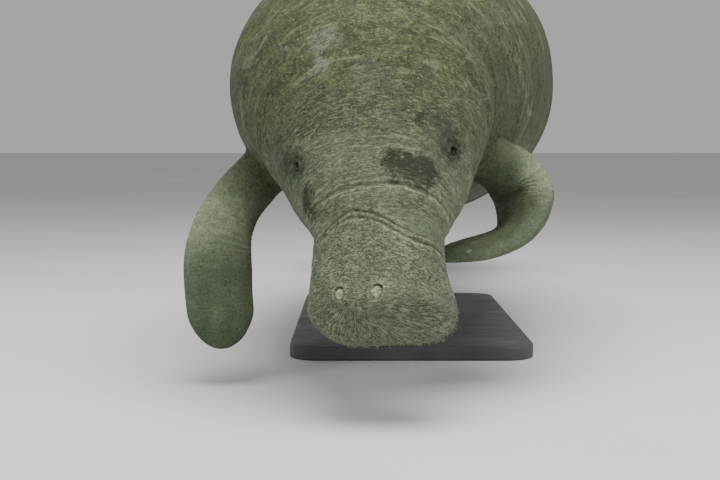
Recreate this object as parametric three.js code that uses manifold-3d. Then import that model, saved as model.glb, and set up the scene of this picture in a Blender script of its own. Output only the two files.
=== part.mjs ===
// A life-size West Indian manatee that swims level above the sea bed with its head bent down, held on a plain stand.
// Millimetres, +Z up. The head points along -Y and the animal's left side is on +X.
// The origin is the middle of the underside of the stand's base.
import * as THREE from "three";
import { mergeVertices } from "three/addons/utils/BufferGeometryUtils.js";
import Module from "manifold-3d";

const wasm = await Module();
wasm.setup();

// Driving dimensions. Places along the body are distances from the front of the snout, along the spine line.
const LENGTH = 3000;
const SNOUT_END = 190;
const HEAD_END = 400;
const NECK_END = 560;
const CHEST_END = 1000;
const BELLY_END = 1500;
const LOIN_END = 2000;
const TAIL_STOCK_END = 2330;
const GAP = 0.3;

const TRUNK_WIDTH = 712;
const TRUNK_DEPTH = 612;
const MUZZLE_WIDTH = 222;
const MUZZLE_DEPTH = 168;
const STOCK_WIDTH = 330;
const STOCK_DEPTH = 220;
const PADDLE_WIDTH = 610;
const PADDLE_THICKNESS = 76;

const SNOUT_ROUND = 54;
const SNOUT_ROUND_POWER = 2.5;
const PADDLE_ROUND = 270;

// The spine line passes through this point at this place, and turns by the angles below, in degrees.
const SPINE_ANCHOR_PLACE = 1300;
const SPINE_ANCHOR = new THREE.Vector3(0, 0, 590);
const PITCH = [
  [0, 65],
  [150, 61],
  [262, 53],
  [400, 37],
  [500, 26],
  [640, 12],
  [900, 3],
  [1500, -1],
  [2200, -7],
  [2600, -5],
  [3000, 4],
];
const YAW = [
  [0, 7],
  [150, 4],
  [300, -3],
  [420, -4],
  [560, 1],
  [750, 7],
  [1500, 8],
  [2200, 3],
  [3000, -2],
];
const ROLL = [
  [0, 19],
  [180, 12],
  [320, 7],
  [600, 6],
  [1500, 5],
  [3000, 2],
];

// Section of the body at each place: half width, rise above the spine line, drop below it, and squareness.
const SECTIONS = [
  { at: 0, half: 0.46 * MUZZLE_WIDTH, rise: 0.46 * MUZZLE_DEPTH, drop: 0.47 * MUZZLE_DEPTH, square: 2.9 },
  { at: 60, half: 0.5 * MUZZLE_WIDTH, rise: 0.5 * MUZZLE_DEPTH, drop: 0.52 * MUZZLE_DEPTH, square: 2.8 },
  { at: 120, half: 0.49 * MUZZLE_WIDTH, rise: 0.5 * MUZZLE_DEPTH, drop: 0.51 * MUZZLE_DEPTH, square: 2.6 },
  { at: 175, half: 0.49 * MUZZLE_WIDTH, rise: 0.505 * MUZZLE_DEPTH, drop: 0.56 * MUZZLE_DEPTH, square: 2.4 },
  { at: 210, half: 120, rise: 95, drop: 106, square: 2.3 },
  { at: 255, half: 140, rise: 108, drop: 122, square: 2.2 },
  { at: 300, half: 160, rise: 123, drop: 138, square: 2.15 },
  { at: 350, half: 182, rise: 141, drop: 155, square: 2.1 },
  { at: 420, half: 208, rise: 167, drop: 176, square: 2.1 },
  { at: 510, half: 0.325 * TRUNK_WIDTH, rise: 0.33 * TRUNK_DEPTH, drop: 0.34 * TRUNK_DEPTH, square: 2.05 },
  { at: 620, half: 0.378 * TRUNK_WIDTH, rise: 0.38 * TRUNK_DEPTH, drop: 0.39 * TRUNK_DEPTH, square: 2.05 },
  { at: 800, half: 0.445 * TRUNK_WIDTH, rise: 0.442 * TRUNK_DEPTH, drop: 0.452 * TRUNK_DEPTH, square: 2.1 },
  { at: 1000, half: 0.485 * TRUNK_WIDTH, rise: 0.485 * TRUNK_DEPTH, drop: 0.49 * TRUNK_DEPTH, square: 2.15 },
  { at: 1200, half: 0.5 * TRUNK_WIDTH, rise: 0.5 * TRUNK_DEPTH, drop: 0.5 * TRUNK_DEPTH, square: 2.15 },
  { at: 1400, half: 0.494 * TRUNK_WIDTH, rise: 0.49 * TRUNK_DEPTH, drop: 0.486 * TRUNK_DEPTH, square: 2.15 },
  { at: 1600, half: 0.46 * TRUNK_WIDTH, rise: 0.452 * TRUNK_DEPTH, drop: 0.446 * TRUNK_DEPTH, square: 2.1 },
  { at: 1800, half: 0.4 * TRUNK_WIDTH, rise: 0.386 * TRUNK_DEPTH, drop: 0.38 * TRUNK_DEPTH, square: 2.1 },
  { at: 2000, half: 0.322 * TRUNK_WIDTH, rise: 0.3 * TRUNK_DEPTH, drop: 0.3 * TRUNK_DEPTH, square: 2.05 },
  { at: 2150, half: 0.262 * TRUNK_WIDTH, rise: 0.232 * TRUNK_DEPTH, drop: 0.23 * TRUNK_DEPTH, square: 2 },
  { at: 2290, half: 0.5 * STOCK_WIDTH, rise: 0.5 * STOCK_DEPTH, drop: 0.49 * STOCK_DEPTH, square: 2 },
  { at: 2390, half: 0.6 * STOCK_WIDTH, rise: 0.36 * STOCK_DEPTH, drop: 0.35 * STOCK_DEPTH, square: 2 },
  { at: 2490, half: 0.41 * PADDLE_WIDTH, rise: 0.74 * PADDLE_THICKNESS, drop: 0.72 * PADDLE_THICKNESS, square: 2 },
  { at: 2600, half: 0.478 * PADDLE_WIDTH, rise: 0.5 * PADDLE_THICKNESS, drop: 0.5 * PADDLE_THICKNESS, square: 2 },
  { at: 2710, half: 0.5 * PADDLE_WIDTH, rise: 0.4 * PADDLE_THICKNESS, drop: 0.4 * PADDLE_THICKNESS, square: 2 },
  { at: 2850, half: 0.5 * PADDLE_WIDTH, rise: 0.3 * PADDLE_THICKNESS, drop: 0.3 * PADDLE_THICKNESS, square: 2 },
  { at: 3000, half: 0.5 * PADDLE_WIDTH, rise: 0.2 * PADDLE_THICKNESS, drop: 0.2 * PADDLE_THICKNESS, square: 2 },
];

const rad = THREE.MathUtils.degToRad;
const clamp = THREE.MathUtils.clamp;
const smoothstep = (x, low, high) => THREE.MathUtils.smoothstep(x, low, high);
const bell = (distance, width) => Math.exp(-((distance / width) ** 2));

// A smooth curve through [place, value] pairs. It never overshoots them unless it is free.
function through(pairs, free = false) {
  const last = pairs.length - 1;
  const rise = (i) => (pairs[i + 1][1] - pairs[i][1]) / (pairs[i + 1][0] - pairs[i][0]);
  const slopes = pairs.map((_, i) => {
    if (i === 0) return rise(0);
    if (i === last) return rise(last - 1);
    const before = rise(i - 1);
    const after = rise(i);
    if (free) return (pairs[i + 1][1] - pairs[i - 1][1]) / (pairs[i + 1][0] - pairs[i - 1][0]);
    return before * after <= 0 ? 0 : (2 * before * after) / (before + after);
  });
  return (x) => {
    const inside = clamp(x, pairs[0][0], pairs[last][0]);
    let i = 0;
    while (i < last - 1 && inside > pairs[i + 1][0]) i += 1;
    const step = pairs[i + 1][0] - pairs[i][0];
    const t = (inside - pairs[i][0]) / step;
    const left = pairs[i][1] + slopes[i] * step * t;
    const right = pairs[i + 1][1] - slopes[i + 1] * step * (1 - t);
    const blend = t * t * (3 - 2 * t);
    return left * (1 - blend) + right * blend;
  };
}

const pitchAt = through(PITCH);
const yawAt = through(YAW);
const rollAt = through(ROLL);
const sectionAt = Object.fromEntries(
  ["half", "rise", "drop", "square"].map((key) => [key, through(SECTIONS.map((s) => [s.at, s[key]]))]),
);

// The spine line's own directions at a place: to the tail, to the animal's left, and up.
function frameAt(place) {
  const pitch = rad(pitchAt(place));
  const yaw = rad(yawAt(place));
  const tail = new THREE.Vector3(
    Math.sin(yaw) * Math.cos(pitch),
    Math.cos(yaw) * Math.cos(pitch),
    Math.sin(pitch),
  );
  const level = new THREE.Vector3(Math.cos(yaw), -Math.sin(yaw), 0);
  const left = level.clone().applyAxisAngle(tail, -rad(rollAt(place)));
  const up = new THREE.Vector3().crossVectors(left, tail);
  return { tail, left, up };
}

// Points of the spine line every SPINE_STEP, moved so that it passes through its anchor.
const SPINE_STEP = 5;
const spinePoints = [new THREE.Vector3()];
for (let place = 0; place < LENGTH; place += SPINE_STEP) {
  const { tail } = frameAt(place + SPINE_STEP / 2);
  spinePoints.push(spinePoints.at(-1).clone().addScaledVector(tail, SPINE_STEP));
}
const spineShift = SPINE_ANCHOR.clone().sub(spinePoints[SPINE_ANCHOR_PLACE / SPINE_STEP]);
spinePoints.forEach((point) => point.add(spineShift));

function spineAt(place) {
  const i = clamp(Math.floor(place / SPINE_STEP), 0, spinePoints.length - 2);
  return spinePoints[i].clone().lerp(spinePoints[i + 1], place / SPINE_STEP - i);
}

// How far the section has opened: it closes in a blunt round at the snout and in a half circle at the paddle's end.
function openness(place) {
  if (place < SNOUT_ROUND) {
    return (1 - (1 - place / SNOUT_ROUND) ** SNOUT_ROUND_POWER) ** (1 / SNOUT_ROUND_POWER);
  }
  const end = Math.max(0, (place - LENGTH + PADDLE_ROUND) / PADDLE_ROUND);
  return Math.sqrt(Math.max(0, 1 - end ** 2.2));
}

// A point of the smooth body. The angle runs from the animal's left over its back: 0 left, 90 back, 180 right, 270 belly.
function smoothPoint(place, angle) {
  const { left, up } = frameAt(place);
  const power = 2 / sectionAt.square(place);
  const across = Math.cos(angle);
  const above = Math.sin(angle);
  const height = above > 0 ? sectionAt.rise(place) : sectionAt.drop(place);
  const open = openness(place);
  return spineAt(place)
    .addScaledVector(left, open * sectionAt.half(place) * Math.sign(across) * Math.abs(across) ** power)
    .addScaledVector(up, open * height * Math.sign(above) * Math.abs(above) ** power);
}

function smoothNormal(place, angle) {
  const step = 1;
  const turn = 0.01;
  const near = Math.max(place - step, 0.5);
  const far = Math.min(place + step, LENGTH - 0.5);
  const along = smoothPoint(far, angle).sub(smoothPoint(near, angle));
  const round = smoothPoint(place, angle + turn).sub(smoothPoint(place, angle - turn));
  return along.cross(round).normalize();
}

// Places of the eyes and nostrils. The muzzle is a little twisted, so the two nostrils aren't level on it.
const EYES = {
  left: { at: 295, angle: rad(31) },
  right: { at: 292, angle: rad(151) },
};
const NOSTRILS = {
  left: { at: 52, angle: rad(79.5) },
  right: { at: 54, angle: rad(99) },
};

// Creases over the head and neck. At the sides each comes forward by its lean. The one behind the muzzle is
// arched: it drops quickly to both sides of the muzzle's ridge, which is a little to the animal's right.
const ARCH_RIDGE = rad(100);
const ARCH_SPREAD = 0.5;
const CREASES = [
  { at: 192, lean: 56, deep: 4.5, wide: 7, arched: true },
  { at: 227, lean: 16, deep: 3.5, wide: 7 },
  { at: 288, lean: 22, deep: 1.5, wide: 8 },
  { at: 425, lean: 10, deep: 6, wide: 16 },
  { at: 512, lean: 0, deep: 5, wide: 18 },
];

// Rounded swellings and hollows of the skin: where, how high and how wide.
const SWELLINGS = [
  { at: 48, angle: rad(-22), high: 20, wide: 58 },
  { at: 48, angle: rad(202), high: 7, wide: 52 },
  { at: 275, angle: rad(-28), high: 9, wide: 62 },
  { at: 275, angle: rad(208), high: 9, wide: 62 },
  { at: 345, angle: rad(36), high: 7, wide: 34 },
  { at: 342, angle: rad(146), high: 7, wide: 34 },
  { ...EYES.left, high: -11, wide: 27 },
  { ...EYES.right, high: -11, wide: 27 },
  { ...NOSTRILS.left, high: 3, wide: 20 },
  { ...NOSTRILS.right, high: 3, wide: 20 },
].map((swelling) => ({ ...swelling, point: smoothPoint(swelling.at, swelling.angle) }));

function relief(place, angle, point) {
  let out = 0;
  const topSide = smoothstep(Math.sin(angle), -0.75, 0.1);
  for (const { at, lean, deep, wide, arched } of CREASES) {
    const drop = arched ? 1 - bell(Math.sin(angle - ARCH_RIDGE), ARCH_SPREAD) : Math.cos(angle) ** 2;
    const off = place - at + lean * drop;
    out -= topSide * deep * (bell(off, wide) - 0.35 * bell(Math.abs(off) - 1.9 * wide, wide));
  }
  for (const { point: centre, high, wide } of SWELLINGS) {
    out += high * bell(point.distanceTo(centre), wide);
  }
  return out;
}

function bodyPoint(place, angle, grow = 0) {
  const point = smoothPoint(place, angle);
  return point.addScaledVector(smoothNormal(place, angle), relief(place, angle, point) + grow);
}

// A closed solid from rings of points, each ring turning the same way. A ring of one point closes an end.
function loft(rings) {
  const points = [];
  const faces = [];
  const starts = rings.map((ring) => {
    const start = points.length / 3;
    ring.forEach((p) => points.push(p.x, p.y, p.z));
    return start;
  });
  const count = Math.max(...rings.map((ring) => ring.length));
  for (let i = 0; i + 1 < rings.length; i += 1) {
    for (let j = 0; j < count; j += 1) {
      const k = (j + 1) % count;
      const a = starts[i] + (rings[i].length > 1 ? j : 0);
      const b = starts[i] + (rings[i].length > 1 ? k : 0);
      const c = starts[i + 1] + (rings[i + 1].length > 1 ? j : 0);
      const d = starts[i + 1] + (rings[i + 1].length > 1 ? k : 0);
      if (a !== b) faces.push(a, c, b);
      if (c !== d) faces.push(b, c, d);
    }
  }
  const close = (ring, start, turned) => {
    if (ring.length === 1) return;
    const middle = points.length / 3;
    const centre = ring.reduce((sum, p) => sum.add(p), new THREE.Vector3()).divideScalar(ring.length);
    points.push(centre.x, centre.y, centre.z);
    for (let j = 0; j < count; j += 1) {
      const k = (j + 1) % count;
      faces.push(middle, start + (turned ? k : j), start + (turned ? j : k));
    }
  };
  close(rings[0], starts[0], false);
  close(rings.at(-1), starts.at(-1), true);
  const geometry = new THREE.BufferGeometry();
  geometry.setAttribute("position", new THREE.Float32BufferAttribute(points, 3));
  geometry.setIndex(faces);
  return geometry;
}

function bodyRings(places, segments, grow = 0) {
  return places.map((place) => {
    if (place <= 0 || place >= LENGTH) return [spineAt(clamp(place, 0, LENGTH))];
    return Array.from({ length: segments }, (_, j) => bodyPoint(place, (2 * Math.PI * j) / segments, grow));
  });
}

// Even steps between two places, both included.
function steps(from, to, most) {
  const count = Math.ceil((to - from) / most);
  return Array.from({ length: count + 1 }, (_, i) => from + ((to - from) * i) / count);
}

// Solids for joining and cutting.
function solid(geometry) {
  const bare = new THREE.BufferGeometry();
  bare.setAttribute("position", geometry.attributes.position.clone());
  if (geometry.index) bare.setIndex(geometry.index.clone());
  const welded = mergeVertices(bare, 1e-4);
  const mesh = new wasm.Mesh({
    numProp: 3,
    vertProperties: new Float32Array(welded.attributes.position.array),
    triVerts: new Uint32Array(welded.index.array),
  });
  mesh.merge();
  return new wasm.Manifold(mesh);
}

function surfaceOf(body) {
  const mesh = body.getMesh();
  const geometry = new THREE.BufferGeometry();
  geometry.setAttribute("position", new THREE.BufferAttribute(new Float32Array(mesh.vertProperties), 3));
  geometry.setIndex(new THREE.BufferAttribute(new Uint32Array(mesh.triVerts), 1));
  return geometry;
}

// Sets a shape down at a point with its own x, y and z along the given directions.
function placed(geometry, point, x, y, z) {
  return geometry.clone().applyMatrix4(new THREE.Matrix4().makeBasis(x, y, z).setPosition(point));
}

// A ball squeezed to three half sizes.
function ball(x, y, z, round = 12) {
  return new THREE.SphereGeometry(1, round, Math.round(round * 0.6)).scale(x, y, z);
}

// A ring that lies flat around its own z.
function ring(x, y, thick) {
  return new THREE.TorusGeometry(1, thick / x, 6, 16).scale(x, y, x);
}

// Directions of the skin at a place: to the tail, across it, and outward.
function skinFrame(place, angle) {
  const out = smoothNormal(place, angle);
  const tail = smoothPoint(place + 2, angle).sub(smoothPoint(place - 2, angle));
  tail.addScaledVector(out, -tail.dot(out)).normalize();
  return { tail, across: new THREE.Vector3().crossVectors(tail, out), out };
}

const group = new THREE.Group();
const hide = new THREE.MeshStandardMaterial({ color: 0x6e7560, roughness: 0.85 });
const wet = new THREE.MeshStandardMaterial({ color: 0x120f0c, roughness: 0.1 });
const horn = new THREE.MeshStandardMaterial({ color: 0xa39c84, roughness: 0.5 });
const paint = new THREE.MeshStandardMaterial({ color: 0x2b2d2e, roughness: 0.5 });

function add(name, geometry, material) {
  const mesh = new THREE.Mesh(geometry, material);
  mesh.name = name;
  group.add(mesh);
}

// Snout and lower jaw. The jaw is a rounded pad let into the underside of the snout, behind the lip.
const snoutPlaces = Array.from({ length: 7 }, (_, i) => SNOUT_ROUND * (1 - Math.cos((i * Math.PI) / 12)));
const snoutLengths = [...steps(SNOUT_ROUND + 12, 148, 16), ...steps(153, SNOUT_END, 5.5)];
const snoutBlank = loft(bodyRings([...snoutPlaces, ...snoutLengths], 44));

const JAW = { from: 34, to: 148, half: 66, top: -48, round: 26 };
const jawFrame = frameAt(80);
const jawOrigin = spineAt(80).addScaledVector(jawFrame.tail, -80);

function jawRings(grow) {
  const bottom = through([
    [JAW.from, -86],
    [75, -94],
    [JAW.to, -88],
  ]);
  const rounded = Array.from({ length: 5 }, (_, i) => JAW.round * (1 - Math.cos((i * Math.PI) / 8)));
  const places = [...rounded, ...steps(JAW.round, JAW.to - JAW.from, 22).slice(1)];
  return places.map((run) => {
    const open = run < JAW.round ? Math.sqrt(1 - (1 - run / JAW.round) ** 2) : 1;
    const place = JAW.from + run;
    const half = (JAW.half - 14 * (1 - open) ** 0.7) + grow;
    const low = THREE.MathUtils.lerp(JAW.top, bottom(place), 0.35 + 0.65 * open);
    const middle = (JAW.top + low) / 2;
    const tall = (JAW.top - low) / 2 + grow;
    const shift = run === 0 ? -grow : place >= JAW.to ? grow : 0;
    return Array.from({ length: 28 }, (_, j) => {
      const turn = (2 * Math.PI * j) / 28;
      const x = Math.sign(Math.cos(turn)) * Math.abs(Math.cos(turn)) ** 0.75;
      const z = Math.sign(Math.sin(turn)) * Math.abs(Math.sin(turn)) ** 0.75;
      return jawOrigin
        .clone()
        .addScaledVector(jawFrame.tail, place + shift)
        .addScaledVector(jawFrame.left, half * x)
        .addScaledVector(jawFrame.up, middle + tall * z);
    });
  });
}

const nostrils = Object.values(NOSTRILS).map(({ at, angle }) => ({
  point: bodyPoint(at, angle),
  ...skinFrame(at, angle),
}));
const nostrilRims = nostrils.map(({ point, tail, across, out }) => {
  return solid(placed(ring(10.5, 12.5, 4), point.clone().addScaledVector(out, -1), across, tail, out));
});
const nostrilPits = nostrils.map(({ point, tail, across, out }) => {
  return solid(placed(ball(8.5, 11, 9), point, across, tail, out));
});
const nostrilValves = nostrils.map(({ point, tail, across, out }) => {
  const seat = point.clone().addScaledVector(tail, -3).addScaledVector(out, -4.5);
  return solid(placed(ball(7.5, 9, 6), seat, across, tail, out));
});
const snout = wasm.Manifold.union([solid(snoutBlank), ...nostrilRims])
  .subtract(wasm.Manifold.union(nostrilPits))
  .add(wasm.Manifold.union(nostrilValves))
  .subtract(solid(loft(jawRings(GAP))));
add("snout", surfaceOf(snout), hide);
add("lower_jaw", loft(jawRings(0)), hide);

// Head, with a ringed lid around each eye.
const EYE_RADIUS = 11;
const eyeball = ball(EYE_RADIUS, EYE_RADIUS, EYE_RADIUS);
const socket = ball(EYE_RADIUS + GAP, EYE_RADIUS + GAP, EYE_RADIUS + GAP);
const headPlaces = [...steps(SNOUT_END + GAP, 236, 6.5), ...steps(248, HEAD_END, 16)];
let head = solid(loft(bodyRings(headPlaces, 44)));
for (const [side, { at, angle }] of Object.entries(EYES)) {
  const { tail, across, out } = skinFrame(at, angle);
  const lid = bodyPoint(at, angle).addScaledVector(out, -1.5);
  const seat = bodyPoint(at, angle).addScaledVector(out, -5);
  head = head
    .add(solid(placed(ring(11, 13, 4.5), lid, across, tail, out)))
    .subtract(solid(placed(socket, seat, across, tail, out)));
  add(`eye_${side}`, placed(eyeball, seat, across, tail, out), wet);
}
add("head", surfaceOf(head), hide);

// Neck, trunk and tail. Each length has this most distance between its rings, and points in a ring.
const LENGTHS = {
  neck: { from: HEAD_END, to: NECK_END, most: 27, around: 40 },
  chest: { from: NECK_END, to: CHEST_END, most: 60, around: 36 },
  belly: { from: CHEST_END, to: BELLY_END, most: 75, around: 36 },
  loin: { from: BELLY_END, to: LOIN_END, most: 75, around: 36 },
  tail_stock: { from: LOIN_END, to: TAIL_STOCK_END, most: 60, around: 36 },
};

function bodyLength({ from, to, most, around }, grow = 0) {
  const places = steps(from + GAP, to, most);
  places[0] -= grow;
  places[places.length - 1] += grow;
  return loft(bodyRings(places, around, grow));
}

for (const [name, length] of Object.entries(LENGTHS)) {
  add(name, bodyLength(length), hide);
}
const paddleEnd = Array.from({ length: 7 }, (_, i) => LENGTH - PADDLE_ROUND * (1 - Math.sin((i * Math.PI) / 12)));
const paddlePlaces = [...steps(TAIL_STOCK_END + GAP, LENGTH - PADDLE_ROUND - 40, 40), ...paddleEnd];
add("tail_paddle", loft(bodyRings(paddlePlaces, 36)), hide);

// The same lengths a gap larger, to fit the flippers and the rods against them.
const clearance = wasm.Manifold.union(Object.values(LENGTHS).map((length) => solid(bodyLength(length, GAP))));

// Flippers. Each is a limb through these stations: distance, centre, direction of its flat width.
// Its elbow is thicker by the share given there.
const FLIPPER_END = 440;
const WRIST = 215;
const flipperHalfWidth = through([
  [0, 56],
  [100, 52],
  [180, 56],
  [280, 64],
  [340, 63],
  [400, 56],
  [FLIPPER_END, 46],
]);
const flipperHalfThickness = through([
  [0, 44],
  [100, 40],
  [200, 29],
  [300, 20],
  [FLIPPER_END, 13],
]);
const FLIPPER_ROUND = 90;
const FLIPPERS = {
  left: {
    centre: [
      [0, 50, -690, 430],
      [85, 130, -668, 422],
      [150, 180, -652, 396],
      [205, 210, -655, 352],
      [265, 202, -688, 301],
      [345, 150, -742, 267],
      [FLIPPER_END, 28, -824, 244],
    ],
    width: [
      [0, -0.3, 0.93, -0.2],
      [205, -0.5, 0.76, -0.38],
      [265, -0.55, 0.75, -0.38],
      [345, -0.6, 0.75, 0],
      [FLIPPER_END, -0.5, 0.8, 0.2],
    ],
    elbow: 0.7,
    nailSide: 1,
  },
  right: {
    centre: [
      [0, -270, -580, 430],
      [90, -325, -640, 370],
      [170, -368, -690, 305],
      [250, -380, -725, 230],
      [350, -373, -755, 142],
      [FLIPPER_END, -368, -770, 68],
    ],
    width: [
      [0, 0.75, 0.2, -0.45],
      [170, 0.93, 0.15, -0.25],
      [FLIPPER_END, 1, 0.1, 0],
    ],
    elbow: 0.1,
    nailSide: 1,
  },
};

function limb({ centre, width, elbow }) {
  const axes = [1, 2, 3];
  const middle = axes.map((k) => through(centre.map((row) => [row[0], row[k]]), true));
  const wide = axes.map((k) => through(width.map((row) => [row[0], row[k]]), true));
  const pointAt = (at) => new THREE.Vector3(...middle.map((f) => f(at)));
  const frame = (at) => {
    const along = pointAt(Math.min(at + 4, FLIPPER_END)).sub(pointAt(Math.max(at - 4, 0))).normalize();
    const across = new THREE.Vector3(...wide.map((f) => f(at)));
    across.addScaledVector(along, -across.dot(along)).normalize();
    return { along, across, out: new THREE.Vector3().crossVectors(across, along) };
  };
  const bulk = (at) => elbow * bell(at - 200, 85);
  const section = (at, count) => {
    const end = Math.max(0, (at - FLIPPER_END + FLIPPER_ROUND) / FLIPPER_ROUND);
    const open = (1 - end ** 2.3) ** (1 / 2.3);
    const { across, out } = frame(at);
    return Array.from({ length: count }, (_, j) => {
      const turn = (2 * Math.PI * j) / count;
      return pointAt(at)
        .addScaledVector(across, open * (1 + 0.3 * bulk(at)) * flipperHalfWidth(at) * Math.cos(turn))
        .addScaledVector(out, Math.sqrt(open) * (1 + bulk(at)) * flipperHalfThickness(at) * Math.sin(turn));
    });
  };
  return { pointAt, frame, section };
}

for (const [side, stations] of Object.entries(FLIPPERS)) {
  const { pointAt, frame, section } = limb(stations);
  const arm = loft(steps(0, WRIST, 18).map((at) => section(at, 20)));
  add(`flipper_${side}_arm`, surfaceOf(solid(arm).subtract(clearance)), hide);
  const tip = Array.from({ length: 7 }, (_, i) => FLIPPER_END - FLIPPER_ROUND * (1 - Math.sin((i * Math.PI) / 12)));
  const rings = [...steps(WRIST + GAP, FLIPPER_END - FLIPPER_ROUND - 15, 20), ...tip].map((at) =>
    at < FLIPPER_END ? section(at, 20) : [pointAt(at)],
  );
  let blade = solid(loft(rings));
  [-1, 0, 1].forEach((step, i) => {
    const at = FLIPPER_END - 22 - 12 * Math.abs(step);
    const { along, across, out } = frame(at);
    const lean = along.clone().addScaledVector(across, 0.35 * step).normalize();
    const beside = new THREE.Vector3().crossVectors(lean, out);
    const seat = pointAt(at)
      .addScaledVector(across, 23 * step)
      .addScaledVector(out, stations.nailSide * 8.5);
    blade = blade.subtract(solid(placed(ball(9 + GAP, 13 + GAP, 4 + GAP, 10), seat, beside, lean, out)));
    add(`nail_${side}_${i + 1}`, placed(ball(9, 13, 4, 10), seat, beside, lean, out), horn);
  });
  add(`flipper_${side}_blade`, surfaceOf(blade), hide);
}

// Display stand: a flat base, two rods up to the body and a collar at the foot of each rod.
const BASE = { length: 1000, width: 520, thick: 30, corner: 60, edge: 4 };
const ROD_RADIUS = 19;
const COLLAR = { radius: 48, tall: 16 };
const ROD_PLACES = { front: 900, rear: 1720 };

const outline = new THREE.Shape();
const halfWidth = BASE.width / 2 - BASE.edge;
const halfLength = BASE.length / 2 - BASE.edge;
outline.moveTo(halfWidth - BASE.corner, -halfLength);
outline.absarc(halfWidth - BASE.corner, -halfLength + BASE.corner, BASE.corner, -Math.PI / 2, 0);
outline.absarc(halfWidth - BASE.corner, halfLength - BASE.corner, BASE.corner, 0, Math.PI / 2);
outline.absarc(-halfWidth + BASE.corner, halfLength - BASE.corner, BASE.corner, Math.PI / 2, Math.PI);
outline.absarc(-halfWidth + BASE.corner, -halfLength + BASE.corner, BASE.corner, Math.PI, 1.5 * Math.PI);
const base = new THREE.ExtrudeGeometry(outline, {
  depth: BASE.thick - 2 * BASE.edge,
  bevelThickness: BASE.edge,
  bevelSize: BASE.edge,
  bevelSegments: 2,
  curveSegments: 5,
}).translate(0, 0, BASE.edge);
add("stand_base", surfaceOf(solid(base)), paint);

for (const [end, place] of Object.entries(ROD_PLACES)) {
  const foot = spineAt(place);
  const seat = BASE.thick + GAP;
  const rod = new THREE.CylinderGeometry(ROD_RADIUS, ROD_RADIUS, foot.z - seat, 24)
    .rotateX(Math.PI / 2)
    .translate(foot.x, foot.y, (foot.z + seat) / 2);
  add(`stand_rod_${end}`, surfaceOf(solid(rod).subtract(clearance)), paint);
  const inner = ROD_RADIUS + GAP;
  const profile = [
    [inner, 0],
    [COLLAR.radius, 0],
    [COLLAR.radius, COLLAR.tall - 4],
    [COLLAR.radius - 4, COLLAR.tall],
    [inner, COLLAR.tall],
    [inner, 0],
  ].map(([x, y]) => new THREE.Vector2(x, y));
  const collar = new THREE.LatheGeometry(profile, 24).rotateX(Math.PI / 2).translate(foot.x, foot.y, seat);
  add(`stand_collar_${end}`, surfaceOf(solid(collar)), paint);
}

export default group;
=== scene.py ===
"""A life-size manatee on a plain stand.

Shapes are worked out in millimetres and given to Blender in metres, in the part's own frame: +Z up, head
towards -Y.
"""
import math

import bmesh
import bpy
import numpy as np
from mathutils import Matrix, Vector
from mathutils.kdtree import KDTree


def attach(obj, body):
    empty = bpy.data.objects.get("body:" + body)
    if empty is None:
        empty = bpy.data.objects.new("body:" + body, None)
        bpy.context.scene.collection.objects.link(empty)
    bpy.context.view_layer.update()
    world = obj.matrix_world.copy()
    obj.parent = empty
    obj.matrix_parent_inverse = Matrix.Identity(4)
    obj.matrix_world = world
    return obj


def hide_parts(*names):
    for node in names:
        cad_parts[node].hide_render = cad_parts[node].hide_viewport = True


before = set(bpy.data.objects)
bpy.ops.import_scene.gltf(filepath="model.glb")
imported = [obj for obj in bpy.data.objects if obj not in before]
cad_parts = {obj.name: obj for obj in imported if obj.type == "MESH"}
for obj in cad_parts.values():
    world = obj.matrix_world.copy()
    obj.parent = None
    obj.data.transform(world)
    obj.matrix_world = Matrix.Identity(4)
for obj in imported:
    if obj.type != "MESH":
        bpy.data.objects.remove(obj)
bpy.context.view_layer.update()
MM = 0.001

# Camera, which frames the animal as the photograph does
CAMERA_PLACE = Vector((-0.110, -3.190, 0.450))
CAMERA_PITCH = 4.18
FOCAL_PIXELS = 1300
IMAGE_WIDTH = 720
SENSOR_WIDTH = 36

camera = bpy.data.objects.new("camera", bpy.data.cameras.new("camera"))
bpy.context.scene.collection.objects.link(camera)
camera.location = CAMERA_PLACE
camera.rotation_euler = (math.radians(90 - CAMERA_PITCH), 0, 0)
camera.data.sensor_width = SENSOR_WIDTH
camera.data.lens = FOCAL_PIXELS / IMAGE_WIDTH * SENSOR_WIDTH
camera.data.clip_start, camera.data.clip_end = 0.05, 200
bpy.context.scene.camera = camera

# The body's named sizes, the same as the solids'
LENGTH = 3000
TRUNK_WIDTH = 712
TRUNK_DEPTH = 612
MUZZLE_WIDTH = 222
MUZZLE_DEPTH = 168
STOCK_WIDTH = 330
STOCK_DEPTH = 220
PADDLE_WIDTH = 610
PADDLE_THICKNESS = 76
SNOUT_ROUND = 54
SNOUT_ROUND_POWER = 2.5
PADDLE_ROUND = 270
PADDLE_ROUND_POWER = 2.2
SPINE_STEP = 5
SPINE_ANCHOR_PLACE = 1300
SPINE_ANCHOR = np.array([0.0, 0.0, 590.0])

# The spine line's course: place along it, degrees
PITCH = [(0, 65), (150, 61), (262, 53), (400, 37), (500, 26), (640, 12)]
PITCH += [(900, 3), (1500, -1), (2200, -7), (2600, -5), (3000, 4)]
YAW = [(0, 7), (150, 4), (300, -3), (420, -4), (560, 1), (750, 7), (1500, 8), (2200, 3), (3000, -2)]
ROLL = [(0, 19), (180, 12), (320, 7), (600, 6), (1500, 5), (3000, 2)]


def in_sizes(width, depth, rows):
    """Sections whose half width, rise and drop are shares of a width and a depth."""
    return [(at, half * width, rise * depth, drop * depth, power) for at, half, rise, drop, power in rows]


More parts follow.
